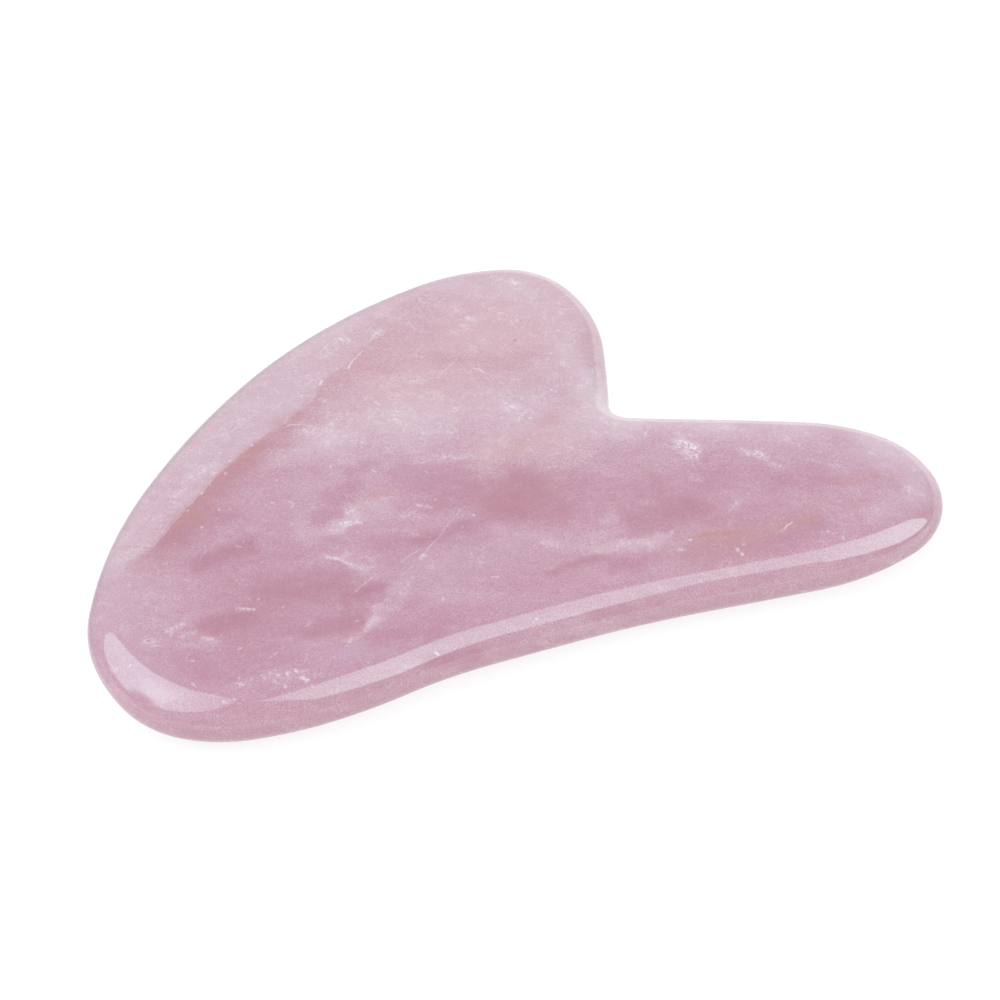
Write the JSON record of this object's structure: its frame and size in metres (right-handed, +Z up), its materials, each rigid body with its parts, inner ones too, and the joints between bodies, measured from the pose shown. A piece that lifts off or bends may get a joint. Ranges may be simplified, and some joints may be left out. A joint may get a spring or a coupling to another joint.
{
  "type": "gua sha scraper",
  "caption": "Flat heart-shaped massage plate of polished rose quartz with a rounded rim, a hollow scraping edge, a broad lobe, a small lobe and a notch between them.",
  "frame": {"origin": "middle of the bounding box, on the underside that the plate lies on", "axes": "+X along the long scraping edge, from the tip to the small lobe; +Y from the hollow scraping edge to the broad lobe; +Z up through the plate's thickness"},
  "size_m": [0.0836, 0.0534, 0.007],
  "materials": {
    "rose_quartz": "polished"
  },
  "bodies": {
    "root": {"scraper_plate": "rose_quartz"}
  },
  "joints": []
}
